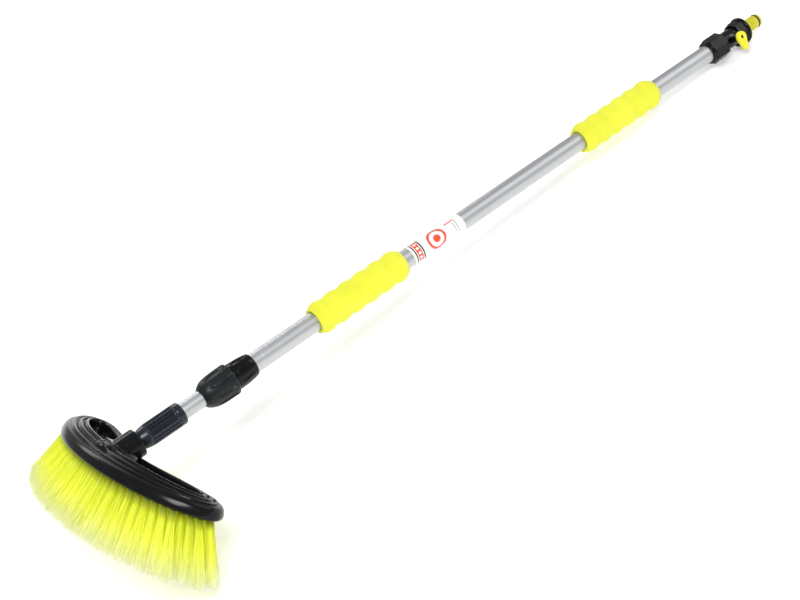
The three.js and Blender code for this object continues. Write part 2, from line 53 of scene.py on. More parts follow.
twist = next(joint for joint in frame["joints"] if joint["name"] == "pole_twist")
ALONG = Vector(twist["axis"]).normalized()
ACROSS = Vector((0, 1, 0))
POLE_TURN = Matrix((ALONG, ACROSS, ALONG.cross(ACROSS))).transposed()
POLE_ZERO = Vector(twist["pos_m"])


def to_metres(points):
    """Points in the pole's frame, in millimetres, to the row frame, in metres."""
    return np.asarray(points) @ np.array(POLE_TURN).T * 0.001 + np.array(POLE_ZERO)


# ---------------------------------------------------------------- camera

EYE = (-409.8, -1263.6, 809.4)
LOOK = Vector((0.4098, 0.757, -0.5089)).normalized()
RIGHT = Vector((0.7486, -0.5977, -0.2862))


def make_camera():
    camera = bpy.data.objects.new("camera", bpy.data.cameras.new("camera"))
    camera.data.lens = 67.5
    camera.data.sensor_width = 36
    up = RIGHT.cross(LOOK).normalized()
    turn = Matrix((LOOK.cross(up), up, -LOOK)).transposed()
    camera.matrix_world = (POLE_TURN @ turn).to_4x4()
    camera.location = to_metres([EYE])[0]
    camera.data.clip_start, camera.data.clip_end = 0.01, 50
    bpy.context.collection.objects.link(camera)
    bpy.context.scene.camera = camera


make_camera()

# ---------------------------------------------------------------- sizes, as in the frame's parts

GAP = 0.3  # between pieces that touch

INNER_R, INNER_BORE = 9.2, 8.2
OUTER_R, OUTER_BORE = 11, 10
HUB_MOUTH, HUB_R = -62.7, 15.3
COUPLING_END, COUPLING_R = -8.3, 12.5
NUT_START, NUT_END, NUT_R = 16.5, 55.5, 18.1
LOCK_END, LOCK_R, THREAD_R = 83.3, 15.2, 13.4
BEAD = 96
INNER_TUBE_END = 770
FRONT_FOAM, REAR_FOAM = (167.5, 291), (572, 698)  # 5 mm shorter than in the frame, at the hose end
LABEL = (303, 379)
CLAMP_START, CLAMP_END, CLAMP_FLAT, CLAMP_BORE = 798, 825, 15.4, 13.6
COLLAR_START, COLLAR_END, COLLAR_FLAT, COLLAR_RIM_R = 848, 865, 15, 17.4
BODY_IN_COLLAR = 8
TIP, CONNECTOR_R, WATER_BORE = 895.5, 8.4, 5
SEAL_GROOVE, SEAL_GROOVE_WIDTH = TIP - 7, 3
BALL_STATION, STEM_TILT, LEVER_PLANE, LEVER_THICKNESS = 839, math.radians(16.5), 21.5, 4.6

HEAD_HALF_LENGTH, HEAD_HALF_WIDTH, BEND_RADIUS, ROUNDNESS = 143, 41.5, 220, 2.5
HEAD_ANGLE = math.radians(44)
HEAD_STATION, HEAD_HEIGHT = -83, 14
CEILING = 5  # height of the water space over the cover's rim
ROWS, ROW_PITCH, BRISTLE_LENGTH, BRISTLE_ROOT = 5, 14, 67, -1.3
FAN, LEAN = math.radians(23), math.radians(14)
WAIST_DEPTH, WAIST_LENGTH = 12, 52  # how far the back edge is drawn in at the hub, and over what length

# ---------------------------------------------------------------- mesh helpers


def piece(name, points, faces, body, slot, materials, replaces=(), uv=None, face_material=None):
    """A mesh object made from millimetres in the pole's frame, riding on a body of the frame."""
    mesh = bpy.data.meshes.new(name)
    mesh.from_pydata(to_metres(points).tolist(), [], [list(map(int, f)) for f in faces])
    if uv is not None:
        corners = np.array([loop.vertex_index for loop in mesh.loops])
        mesh.uv_layers.new(name="shape").data.foreach_set("uv", np.asarray(uv)[corners].ravel())
    built = bmesh.new()
    built.from_mesh(mesh)
    bmesh.ops.recalc_face_normals(built, faces=built.faces)
    built.to_mesh(mesh)
    built.free()
    for material in materials if isinstance(materials, list) else [materials]:
        mesh.materials.append(material)
    if face_material is not None:
        mesh.polygons.foreach_set("material_index", face_material)
    mesh.polygons.foreach_set("use_smooth", [True] * len(mesh.polygons))
    made = bpy.data.objects.new(name, mesh)
    bpy.context.collection.objects.link(made)
    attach(made, body)
    if replaces:
        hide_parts(*replaces)
    return made


def sharpen(made, degrees=35):
    """Keeps the edges of a smooth-shaded piece crisp where its faces meet at more than an angle."""
    built = bmesh.new()
    built.from_mesh(made.data)
    for edge in built.edges:
        if len(edge.link_faces) == 2 and edge.calc_face_angle(0) > math.radians(degrees):
            edge.smooth = False
    built.to_mesh(made.data)
    built.free()


def bevelled(made, width_mm, segments=3, degrees=30):
    """Rounds the piece's sharp edges."""
    built = bmesh.new()
    built.from_mesh(made.data)
    edges = [
        edge
        for edge in built.edges
        if len(edge.link_faces) == 2 and edge.calc_face_angle(0) > math.radians(degrees)
    ]
    bmesh.ops.bevel(
        built,
        geom=edges,
        offset=width_mm / 1000,
        segments=segments,
        profile=0.6,
        affect="EDGES",
        clamp_overlap=True,
    )
    bmesh.ops.recalc_face_normals(built, faces=built.faces)
    built.to_mesh(made.data)
    built.free()
    made.data.polygons.foreach_set("use_smooth", [True] * len(made.data.polygons))
    sharpen(made, 50)


def softened(profile, radius, steps=4):
    """The closed profile with its corners rounded; points are [station, radius]."""
    points = [np.array(p, float) for p in profile]
    result = []
    for i, here in enumerate(points):
        before, after = points[i - 1], points[(i + 1) % len(points)]
        back, ahead = before - here, after - here
        back_length, ahead_length = np.linalg.norm(back), np.linalg.norm(ahead)
        cut = min(radius, 0.45 * back_length, 0.45 * ahead_length)
        start, end = here + back / back_length * cut, here + ahead / ahead_length * cut
        for t in np.linspace(0, 1, steps + 1):
            result.append((1 - t) ** 2 * start + 2 * t * (1 - t) * here + t**2 * end)
    return result


def divided(profile, step):
    """The closed profile with no stretch longer than step."""
    points = [np.array(p, float) for p in profile]
    result = []
    for a, b in zip(points, points[1:] + points[:1]):
        parts = max(1, math.ceil(np.linalg.norm(b - a) / step))
        result += [a + (b - a) * k / parts for k in range(parts)]
    return result


def grid_faces(rings, count, wrap_rings=True):
    """Four-sided faces between rings of count points, with the last ring joined to the first if wanted."""
    faces = []
    for k in range(rings if wrap_rings else rings - 1):
        low, high = k * count, ((k + 1) % rings) * count
        for i in range(count):
            j = (i + 1) % count
            faces.append((low + i, low + j, high + j, high + i))
    return faces


def cross_strips(first, count):
    """Four-sided faces that close a long ring straight across; first is its first point's number."""
    last = first + count - 1
    return [(first + i, first + i + 1, last - i - 1, last - i) for i in range(count // 2 - 1)]


def ring_points(station, radius, angle):
    """A ring round the pole's axis."""
    return np.stack([np.full(len(angle), float(station)), radius * np.cos(angle), radius * np.sin(angle)], -1)


def turned(profile, sides=96, shape=None):
    """A closed profile of [station, radius] turned round the pole's axis; shape(station, radius, angle)
    may change the radius."""
    angle = 2 * np.pi * np.arange(sides) / sides
    rings = []
    for station, radius in profile:
        around = np.full(sides, float(radius))
        if shape is not None:
            around = shape(station, around, angle)
        rings.append(ring_points(station, around, angle))
    return np.concatenate(rings), grid_faces(len(profile), sides)


def join(*parts):
    """Several (points, faces) as one."""
    points, faces, offset = [], [], 0
    for part_points, part_faces in parts:
        points.append(np.asarray(part_points))
        faces += [tuple(v + offset for v in f) for f in part_faces]
        offset += len(part_points)
    return np.concatenate(points), faces


def smoothstep(value, low, high):
    t = np.clip((value - low) / (high - low), 0, 1)
    return t * t * (3 - 2 * t)


# ---------------------------------------------------------------- materials


def node_material(name, roughness, metallic=0.0, **shader):
    """A material with its shader's constants set, and its tree, ready for the pattern nodes."""
    made = bpy.data.materials.new(name)
    made.use_nodes = True
    tree = made.node_tree
    principled = tree.nodes["Principled BSDF"]
    principled.inputs["Roughness"].default_value = roughness
    principled.inputs["Metallic"].default_value = metallic
    for key, value in shader.items():
        principled.inputs[key.replace("_", " ")].default_value = value
    return made, tree, principled


def object_point(tree, scale=(1, 1, 1)):
    """The place on the object itself, stretched by a scale."""
    place = tree.nodes.new("ShaderNodeTexCoord")
    stretch = tree.nodes.new("ShaderNodeMapping")
    stretch.inputs["Scale"].default_value = scale
    tree.links.new(place.outputs["Object"], stretch.inputs["Vector"])
    return stretch.outputs["Vector"]


def noise(tree, vector, scale, detail=3.0, roughness=0.5):
    made = tree.nodes.new("ShaderNodeTexNoise")
    made.inputs["Scale"].default_value = scale
    made.inputs["Detail"].default_value = detail
    made.inputs["Roughness"].default_value = roughness
    tree.links.new(vector, made.inputs["Vector"])
    return made.outputs["Fac"]


def spread(tree, factor, low, high):
    """The factor moved from 0..1 to low..high."""
    made = tree.nodes.new("ShaderNodeMapRange")
    made.inputs["To Min"].default_value = low
    made.inputs["To Max"].default_value = high
    tree.links.new(factor, made.inputs["Value"])
    return made.outputs["Result"]


def colours(tree, factor, *stops):
    """A colour ramp over the factor; stops are (position, colour)."""
    ramp = tree.nodes.new("ShaderNodeValToRGB")
    ends = ramp.color_ramp.elements
    while len(ends) < len(stops):
        ends.new(0.5)
    for element, (position, colour) in zip(ends, stops):
        element.position = position
        element.color = (*colour, 1)
    tree.links.new(factor, ramp.inputs["Fac"])
    return ramp.outputs["Color"]


def bumped(tree, principled, height, strength, distance):
    made = tree.nodes.new("ShaderNodeBump")
    made.inputs["Strength"].default_value = strength
    made.inputs["Distance"].default_value = distance
    tree.links.new(height, made.inputs["Height"])
    tree.links.new(made.outputs["Normal"], principled.inputs["Normal"])


def moulded_plastic(name, dark, light, smooth, rough, grain=900.0, bump=0.12, **shader):
    """Moulded plastic: a fine skin texture, with wide soft changes of gloss and tone."""
    made, tree, principled = node_material(name, rough, **shader)
    point = object_point(tree)
    wide = noise(tree, point, 45, 2)
    fine = noise(tree, point, grain, 4, 0.6)
    tree.links.new(colours(tree, wide, (0.3, dark), (0.7, light)), principled.inputs["Base Color"])
    tree.links.new(spread(tree, wide, smooth, rough), principled.inputs["Roughness"])
    bumped(tree, principled, fine, bump, 0.0002)
    return made


def satin_aluminium():
    """Anodised tube: faint drawing lines along the tube and slight changes of gloss."""
    made, tree, principled = node_material("satin_aluminium", 0.42, 1.0, Anisotropic=0.3)
    lines = noise(tree, object_point(tree, (6, 900, 900)), 1.0, 4, 0.6)
    wide = noise(tree, object_point(tree), 14, 3)
    tones = colours(tree, lines, (0.25, (0.5, 0.515, 0.53)), (0.75, (0.58, 0.59, 0.6)))
    tree.links.new(tones, principled.inputs["Base Color"])
    tree.links.new(spread(tree, wide, 0.44, 0.54), principled.inputs["Roughness"])
    bumped(tree, principled, lines, 0.05, 0.0001)
    return made


def soft_foam():
    """Closed-cell foam with its fine pores."""
    made, tree, principled = node_material("soft_foam", 0.82, Sheen_Weight=0.1, Sheen_Roughness=0.5)
    point = object_point(tree)
    pores = noise(tree, point, 1500, 5, 0.7)
    wide = noise(tree, point, 30, 3)
    tones = colours(tree, wide, (0.3, (0.76, 0.78, 0.03)), (0.7, (0.83, 0.84, 0.045)))
    tree.links.new(tones, principled.inputs["Base Color"])
    tree.links.new(spread(tree, pores, 0.7, 0.95), principled.inputs["Roughness"])
    bumped(tree, principled, pores, 0.35, 0.0004)
    return made


def bristle_material_painted_shade_and_glow():
    """Filaments: dark at the root, which is painted shade where the tufts crowd at the plate, bright along
    the length and pale at the flagged tips, with a painted glow from an emission of the same colour.
    The UV map holds [filament's own tone, share of its length]."""
    # The emission in the bristles' own colour is a painted glow that lifts their shaded parts.
    made, tree, principled = node_material("bristles", 0.5, Sheen_Weight=0.15, Emission_Strength=0.25)
    place = tree.nodes.new("ShaderNodeUVMap")
    place.uv_map = "shape"
    parts = tree.nodes.new("ShaderNodeSeparateXYZ")
    tree.links.new(place.outputs["UV"], parts.inputs["Vector"])
    # The ramp's dark first stop is painted shade at the roots, where the tufts crowd at the plate; the pale
    # last stop is the flagged tips' own colour.
    length = colours(
        tree,
        parts.outputs["Y"],
        (0.0, (0.2, 0.26, 0.006)),
        (0.2, (0.84, 0.9, 0.03)),
        (0.5, (0.95, 0.97, 0.06)),
        (0.74, (0.96, 0.97, 0.22)),
        (1.0, (0.98, 1.0, 0.6)),
    )
    tone = colours(tree, parts.outputs["X"], (0.0, (0.66, 0.7, 0.5)), (1.0, (1.0, 1.0, 1.0)))
    colour_with_painted_root_shade = tree.nodes.new("ShaderNodeMix")
    colour_with_painted_root_shade.data_type = "RGBA"
    colour_with_painted_root_shade.blend_type = "MULTIPLY"
    colour_with_painted_root_shade.inputs["Factor"].default_value = 1.0
    tree.links.new(length, colour_with_painted_root_shade.inputs["A"])
    tree.links.new(tone, colour_with_painted_root_shade.inputs["B"])
    tree.links.new(colour_with_painted_root_shade.outputs["Result"], principled.inputs["Base Color"])
    # The same colour, painted root shade included, feeds the emission that paints the glow.
    tree.links.new(colour_with_painted_root_shade.outputs["Result"], principled.inputs["Emission Color"])
    fine = noise(tree, object_point(tree), 2500, 2)
    tree.links.new(spread(tree, fine, 0.4, 0.6), principled.inputs["Roughness"])
    bumped(tree, principled, fine, 0.1, 0.0001)
    return made


def printed_label(name, dark, light):
    """Coated paper with faint fibres, in one ink."""
    made, tree, principled = node_material(name, 0.3, Coat_Weight=0.4, Coat_Roughness=0.15)
    point = object_point(tree)
    fibre = noise(tree, point, 420, 4)
    tree.links.new(colours(tree, fibre, (0.3, dark), (0.7, light)), principled.inputs["Base Color"])
    tree.links.new(spread(tree, fibre, 0.26, 0.36), principled.inputs["Roughness"])
    bumped(tree, principled, fibre, 0.03, 0.0001)
    return made


BLACK = moulded_plastic(
    "black_plastic",
    (0.003, 0.0034, 0.0042),
    (0.006, 0.0065, 0.0075),
    smooth=0.15,
    rough=0.23,
    bump=0.04,
    Specular_IOR_Level=0.2,
)
CHARCOAL = moulded_plastic(
    "charcoal_plastic",
    (0.007, 0.01, 0.011),
    (0.012, 0.016, 0.018),
    smooth=0.33,
    rough=0.42,
    grain=1400.0,
    bump=0.15,
    Specular_IOR_Level=0.28,
)
SLATE = moulded_plastic(
    "slate_plastic",
    (0.004, 0.007, 0.014),
    (0.008, 0.013, 0.024),
    smooth=0.24,
    rough=0.32,
    bump=0.06,
    Specular_IOR_Level=0.45,
)
YELLOW = moulded_plastic("yellow_plastic", (0.78, 0.71, 0.012), (0.88, 0.82, 0.02), 0.28, 0.38)
OCHRE = moulded_plastic("connector_plastic", (0.56, 0.53, 0.008), (0.66, 0.62, 0.012), 0.3, 0.4)
NYLON = moulded_plastic("nylon", (0.7, 0.69, 0.64), (0.78, 0.77, 0.72), 0.35, 0.5)
RUBBER = moulded_plastic("black_rubber", (0.012, 0.012, 0.012), (0.02, 0.02, 0.02), 0.5, 0.7, 1800.0, 0.25)
STEEL = moulded_plastic(
    "bright_steel", (0.62, 0.63, 0.64), (0.72, 0.73, 0.74), 0.12, 0.22, grain=500.0, bump=0.04, Metallic=1.0
)
ALUMINIUM = satin_aluminium()
FOAM = soft_foam()
BRISTLES_PAINTED_SHADE_AND_GLOW = bristle_material_painted_shade_and_glow()
LABEL_WHITE = printed_label("label_white", (0.86, 0.86, 0.85), (0.91, 0.91, 0.9))
LABEL_RED = printed_label("label_red", (0.75, 0.055, 0.02), (0.84, 0.1, 0.03))
LABEL_BLACK = printed_label("label_black", (0.012, 0.012, 0.013), (0.02, 0.02, 0.021))
LABEL_GREY = printed_label("label_grey", (0.42, 0.43, 0.44), (0.5, 0.51, 0.52))

# ---------------------------------------------------------------- brush head


def bend(along, across, up):
    """Straight head coordinates bent into the crescent, in the head's own frame, with a waist at the hub."""
    angle = along / BEND_RADIUS
    waist = WAIST_DEPTH * np.exp(-((along / WAIST_LENGTH) ** 2)) * smoothstep(across, 0, HEAD_HALF_WIDTH)
    radius = BEND_RADIUS - across + waist
    return np.stack([BEND_RADIUS - radius * np.cos(angle), radius * np.sin(angle), up + 0 * angle], -1)


def head_to_pole(points):
    """The head's own frame (Z its top normal, X to the pole's side) to the pole's frame."""
    c, s = math.cos(HEAD_ANGLE), math.sin(HEAD_ANGLE)
    x, y, z = points[..., 0], points[..., 1], points[..., 2] - HEAD_HEIGHT
    return np.stack([x * s + z * c + HEAD_STATION, y, -x * c + z * s], -1)


# The cover's section: inset and height, each as (front, tip, back). The back is the pole's side.
COVER_SECTION = [
    ((4, 4, 4), (0.2, 0.2, 0.2)),
    ((1.5, 1.5, 1.5), (0.1, 0.1, 0.1)),
    ((0.1, 0.1, 0.1), (1.8, 1.8, 1.8)),
    ((0.0, 0.0, 0.0), (5.0, 5.0, 5.0)),
    ((1.2, 1.4, 1.8), (9.4, 9.4, 9.0)),
    ((3.2, 3.6, 4.4), (12.2, 12.2, 11.6)),
    ((5.4, 6.0, 7.0), (13.1, 13.1, 13.0)),
    ((6.6, 7.2, 7.9), (12.7, 12.8, 13.2)),
    ((7.4, 7.9, 8.4), (12.9, 13.1, 13.4)),
    ((8.3, 8.7, 9.2), (15.3, 14.6, 14.1)),
    ((9.6, 9.8, 10.0), (16.1, 15.1, 14.3)),
    ((11.3, 11.4, 11.3), (15.9, 15.0, 14.1)),
    ((12.2, 12.3, 12.2), (13.6, 13.7, 13.9)),
    ((13.2, 13.3, 13.1), (13.2, 13.4, 13.9)),
    ((14.2, 14.3, 13.7), (14.0, 14.0, 14.1)),
    ((16.2, 16.2, 14.4), (18.1, 15.9, 14.5)),
    ((17.4, 17.4, 15.1), (19.1, 16.4, 14.6)),
    ((18.9, 18.9, 15.7), (19.0, 16.3, 14.5)),
    ((19.7, 19.8, 16.4), (15.6, 14.6, 14.3)),
    ((20.6, 20.6, 17.0), (15.0, 14.2, 14.3)),
    ((21.5, 21.5, 17.5), (16.0, 14.8, 14.5)),
    ((23.4, 23.3, 18.1), (20.9, 16.6, 14.7)),
    ((24.6, 24.5, 18.8), (22.1, 17.0, 14.8)),
    ((26.2, 26.0, 19.7), (21.9, 16.9, 14.7)),
    ((27.0, 27.0, 20.8), (19.4, 15.0, 13.6)),
    ((28.0, 28.0, 22.3), (7.6, 7.6, 7.6)),
    ((29.2, 29.2, 24.5), (7.1, 7.1, 7.1)),
]


def smooth_curve(points, steps):
    """A smooth curve through the points."""
    points = np.asarray(points, float)
    padded = np.concatenate([points[:1], points, points[-1:]])
    result = []
    for k in range(len(points) - 1):
        a, b, c, d = padded[k : k + 4]
        for t in np.arange(steps) / steps:
            m0, m1 = 0.35 * (c - a), 0.35 * (d - b)
            t2, t3 = t * t, t * t * t
            result.append(
                (2 * t3 - 3 * t2 + 1) * b + (t3 - 2 * t2 + t) * m0 + (3 * t2 - 2 * t3) * c + (t3 - t2) * m1
            )
    result.append(points[-1])
    return np.array(result)


def hub_distance(along, across, up):
    """Distance from the hub's foot in units of its radius: 1 on its wall."""
    centre = (up - HEAD_HEIGHT) * math.tan(HEAD_ANGLE)
    return np.hypot(along / HUB_R, (across - centre) * math.cos(HEAD_ANGLE) / HUB_R)


def crescent_ring(inset, up, count):
    """One ring in straight head coordinates: the outline moved in by an inset, at a height, each of them
    given as (front, tip, back)."""
    angle = 2 * np.pi * (np.arange(count) + 0.5) / count
    c, s = np.cos(angle), np.sin(angle)
    power = 2 / ROUNDNESS
    half_width = HEAD_HALF_WIDTH - np.where(s > 0, inset[2], inset[0])
    along = (HEAD_HALF_LENGTH - inset[1]) * np.sign(c) * np.abs(c) ** power
    across = half_width * np.sign(s) * np.abs(s) ** power
    side = smoothstep(across, -HEAD_HALF_WIDTH, HEAD_HALF_WIDTH)
    tip = (along / HEAD_HALF_LENGTH) ** 2
    height = (up[0] * (1 - side) + up[2] * side) * (1 - tip) + up[1] * tip
    return along, across, height


def plateau(along, across, height, inset_front):
    """The ring's height with the channels beside the hub filled, and flared up to the hub's wall."""
    near = hub_distance(along, across, height)
    fill = 1 - smoothstep(near, 1.32, 1.5)
    level = 18.6 - 0.12 * np.maximum(across, -20)
    inside = smoothstep(inset_front, 13.0, 16.0)
    raised = height + np.maximum(level - height, 0) * fill * inside
    flare = np.clip(1 - (near - 1) / 0.34, 0, 1) ** 2 * 3.2 * inside
    return raised + flare


def even_ring(inset, up, count):
    """A ring of the crescent with one inset and one height all round."""
    return head_to_pole(bend(*crescent_ring((inset,) * 3, (up,) * 3, count)))


def cover_ring(inset, up, count, narrowed=1.0):
    """A ring of the cover's top, narrowed towards its own middle for the recess's floor."""
    along, across, height = crescent_ring(inset, up, count)
    if narrowed < 1:
        middle = (inset[0] - inset[2]) / 2
        across = middle + (across - middle) * narrowed
    return head_to_pole(bend(along, across, plateau(along, across, height, inset[0])))


def cover_mesh(count=300, steps=4):
    """The cover as one loft: the water space's ceiling, its wall, the section, then the recess's floor."""
    insets = smooth_curve([row[0] for row in COVER_SECTION], steps)
    heights = smooth_curve([row[1] for row in COVER_SECTION], steps)
    rim_inset, rim_height = insets[0][0], heights[0][0]
    rings = [even_ring(rim_inset, CEILING, count), even_ring(rim_inset, rim_height, count)]
    rings += [cover_ring(inset, up, count) for inset, up in zip(insets[1:], heights[1:])]
    rings += [cover_ring(insets[-1], heights[-1], count, narrowed) for narrowed in (0.75, 0.5, 0.25)]
    faces = grid_faces(len(rings), count, wrap_rings=False)
    faces += [strip[::-1] for strip in cross_strips(0, count)]
    faces += cross_strips((len(rings) - 1) * count, count)
    return np.concatenate(rings), faces


def hub_mesh():
    """The hub's tube, with its thin rim and the socket inside, sunk into the cover."""
    foot, socket = HUB_MOUTH - 35, 9.9
    profile = [
        (foot, socket),
        (HUB_MOUTH - 0.2, socket),
        (HUB_MOUTH, 10.6),
        (HUB_MOUTH + 0.9, 12.4),
        (HUB_MOUTH + 0.9, 14.0),
        (HUB_MOUTH, 15.2),
        (HUB_MOUTH - 2.4, HUB_R),
        (foot, HUB_R),
    ]
    points, faces = turned(divided(softened(profile, 0.7), 4), 96)
    return trimmed_below_cover(points), faces


def trimmed_below_cover(points):
    """Points of the hub that would come out under the cover, moved up along the pole's axis."""
    c, s = math.cos(HEAD_ANGLE), math.sin(HEAD_ANGLE)
    points = points.copy()
    up = (points[:, 0] - HEAD_STATION) * c + points[:, 2] * s + HEAD_HEIGHT
    lift = np.maximum(CEILING + 0.6 - up, 0)
    points[:, 0] += lift / c
    return points


def make_head():
    cover = piece(
        "head_cover_shell",
        *join(cover_mesh(), hub_mesh()),
        "inner_pole",
        "black_plastic",
        BLACK,
        ["brush_head_cover"],
    )
    sharpen(cover, 60)


def make_tuft_plate(count=240):
    edge = ((9, -0.9), (5.2, -1), (4.5, -0.4), (4.4, 3.1))
    rings = [even_ring(inset, up, count) for inset, up in edge]
    faces = grid_faces(len(rings), count, wrap_rings=False)
    faces += cross_strips(0, count) + cross_strips((len(rings) - 1) * count, count)
    points = np.concatenate(rings)
    piece("tuft_plate", points, faces, "inner_pole", "black_plastic", BLACK, ["brush_head_base"])


# ---------------------------------------------------------------- bristles

TUFT_PITCH = 9.4
TUFT_R = 2.7
TIP_SPREAD = (3.0, 3.6)  # how much wider a tuft is at its tips, along and across the head
SPREAD_POWER = 1.7
FILAMENTS = 150  # in each tuft
FILAMENT_R = 0.34
SEGMENTS = 4  # of a filament
CORNERS = 3  # of its section


def bristle_place(along, across, depth):
    """A point on the bristle that starts at (along, across) of the tuft plate, at a depth below it."""
    fan = along / HEAD_HALF_LENGTH * FAN
    lean = across / (ROW_PITCH * 2) * LEAN
    up = BRISTLE_ROOT - depth * np.cos(fan) * np.cos(lean)
    return bend(along + depth * np.sin(fan), across + depth * np.sin(lean), up)


def tuft_centres(across):
    """The places of a row's tufts along the head, for a row at this distance from its middle."""
    reach = (1 - abs(across / HEAD_HALF_WIDTH) ** ROUNDNESS) ** (1 / ROUNDNESS)
    half = HEAD_HALF_LENGTH * reach - 9 - TUFT_R
    count = max(2, round(2 * half / TUFT_PITCH) + 1)
    return np.linspace(-half, half, count)


def filament_paths(across, chance):
    """The points along each filament of a row, as [filament, step, xyz], and each filament's own tone."""
    centres = tuft_centres(across)
    number = len(centres) * FILAMENTS
    tuft = np.repeat(centres, FILAMENTS)
    angle = chance.uniform(0, 2 * np.pi, number)
    share = np.sqrt(chance.uniform(0, 1, number))
    root_along, root_across = share * np.cos(angle), share * np.sin(angle)
    length = BRISTLE_LENGTH * (1 - 0.16 * chance.uniform(0, 1, number) ** 2 - 0.05 * share**2)
    drift = chance.normal(0, 0.55, (2, number))
    curl = chance.normal(0, 0.35, (2, number))
    paths = []
    for step in range(SEGMENTS + 1):
        t = step / SEGMENTS
        spread_along = TUFT_R + TIP_SPREAD[0] * t**SPREAD_POWER
        spread_across = TUFT_R + TIP_SPREAD[1] * t**SPREAD_POWER
        wave = math.sin(t * math.pi) * curl
        along = tuft + root_along * spread_along + drift[0] * t * t + wave[0]
        off = root_across * spread_across + drift[1] * t * t + wave[1]
        paths.append(head_to_pole(bristle_place(along, across + off, t * length)))
    return np.stack(paths, 1), chance.uniform(0, 1, number)


def bristle_row(row, across):
    """A row's filaments as tapering three-sided rods: points, faces and the UV of each point."""
    chance = np.random.default_rng(40 + row)
    paths, tone = filament_paths(across, chance)
    number, steps, _ = paths.shape
    down = paths[:, -1] - paths[:, 0]
    down /= np.linalg.norm(down, axis=1, keepdims=True)
    one = np.cross(down, chance.normal(0, 1, (number, 3)))
    one /= np.linalg.norm(one, axis=1, keepdims=True)
    two = np.cross(down, one)
    share = np.arange(steps) / SEGMENTS
    radius = FILAMENT_R * (1 - 0.55 * share**2)
    points = np.empty((number, steps, CORNERS, 3))
    for corner in range(CORNERS):
        turn = 2 * math.pi * corner / CORNERS
        offset = one * math.cos(turn) + two * math.sin(turn)
        points[:, :, corner] = paths + offset[:, None] * radius[None, :, None]
    uv = np.empty((number, steps, CORNERS, 2))
    uv[..., 0] = tone[:, None, None]
    uv[..., 1] = share[None, :, None]
    first = (np.arange(number) * steps * CORNERS)[:, None]
    quads = []
    for step in range(SEGMENTS):
        for corner in range(CORNERS):
            after = (corner + 1) % CORNERS
            low, high = step * CORNERS, (step + 1) * CORNERS
            quads.append(np.stack([low + corner, low + after, high + after, high + corner]))
    faces = (first[:, :, None] + np.array(quads)[None]).reshape(-1, 4)
    tips = first + SEGMENTS * CORNERS
    caps = np.concatenate([first + np.array([[2, 1, 0]]), tips + np.array([[0, 1, 2]])])
    return points.reshape(-1, 3), faces.tolist() + caps.tolist(), uv.reshape(-1, 2)


def tuft_cores(row, across):
    """Closed rods inside each tuft, so that the rows read as dense: points, faces and UV."""
    sides, steps, core_length, core_spread = 12, 7, 0.72, 2.0
    shapes, uvs = [], []
    for centre in tuft_centres(across):
        points, uv = [], []
        for step in range(steps):
            t = step / (steps - 1) * core_length
            width = TUFT_R * 0.8 + core_spread * t**SPREAD_POWER
            angle = 2 * np.pi * np.arange(sides) / sides
            depth = 0.02 + t * BRISTLE_LENGTH * (1 + 0.03 * np.cos(3 * angle + row))
            scale = width * (1 - 0.35 * (step == steps - 1))
            along, off = centre + scale * np.cos(angle), scale * np.sin(angle)
            points.append(head_to_pole(bristle_place(along, across + off, depth)))
            uv.append(np.stack([0.25 + 0.5 * (np.arange(sides) % 2), np.full(sides, t)], -1))
        faces = grid_faces(steps, sides, wrap_rings=False)
        faces.append(tuple(range(sides))[::-1])
        faces.append(tuple(range((steps - 1) * sides, steps * sides)))
        shapes.append((np.concatenate(points), faces))
        uvs.append(np.concatenate(uv))
    return *join(*shapes), np.concatenate(uvs)


def make_bristles():
    for row in range(ROWS):
        across = (row - (ROWS - 1) / 2) * ROW_PITCH
        filaments = bristle_row(row, across)
        cores = tuft_cores(row, across)
        points, faces = join(filaments[:2], cores[:2])
        uv = np.concatenate([filaments[2], cores[2]])
        name = f"bristle_row_{row + 1}"
        piece(f"bristles_{row + 1}", points, faces, "inner_pole", "bristles", BRISTLES_PAINTED_SHADE_AND_GLOW, [name], uv=uv)


# ---------------------------------------------------------------- coupling and lock


FLUTES, SCALLOPS, TEARDROPS = 16, 9, 8


def fluted(station, radius, angle):
    """Grooves along the coupling, fading out at both ends."""
    if radius[0] < 11.9:
        return radius
    fade = smoothstep(station, -53, -49) * (1 - smoothstep(station, -17.5, -14.8))
    wave = 0.5 + 0.5 * np.cos(FLUTES * angle)
    groove = smoothstep(wave, 0.35, 0.65)
    return radius - 1.5 * groove * fade


def make_coupling():
    nose = HUB_MOUTH - 12.6
    profile = [
        (nose, 5.7),
        (HUB_MOUTH + 14, 5.7),
        (HUB_MOUTH + 14, INNER_R + GAP),
        (COUPLING_END, INNER_R + GAP),
        (COUPLING_END, 11.2),
        (COUPLING_END - 1.2, 12.2),
        (COUPLING_END - 3, COUPLING_R),
        (HUB_MOUTH + 15, COUPLING_R - 0.1),
        (HUB_MOUTH + 11, 12.2),
        (HUB_MOUTH + 5, 11.1),
        (HUB_MOUTH + 1.2, 9.7),
        (HUB_MOUTH + 0.4, 9.3),
        (nose, 9.3),
    ]
    points, faces = turned(divided(softened(profile, 1.4), 1.1), 192, fluted)
    made = piece(
        "fluted_coupling", points, faces, "head_coupling", "slate_plastic", SLATE, ["head_coupling_nut"]
    )
    sharpen(made, 60)


def scalloped(station, radius, angle):
    """Long oval hollows round the lock nut."""
    if radius[0] < THREAD_R + 1.2:
        return radius
    centre, half = NUT_START + 23, 14.5
    along = (station - centre) / half
    if abs(along) >= 1:
        return radius
    pitch = 2 * math.pi / SCALLOPS
    around = (np.mod(angle + 0.1, pitch) - pitch / 2) / (pitch * 0.34)
    inside = np.clip(1 - along**2 - around**2, 0, 1)
    return radius - 2.1 * smoothstep(inside, 0.0, 0.6)


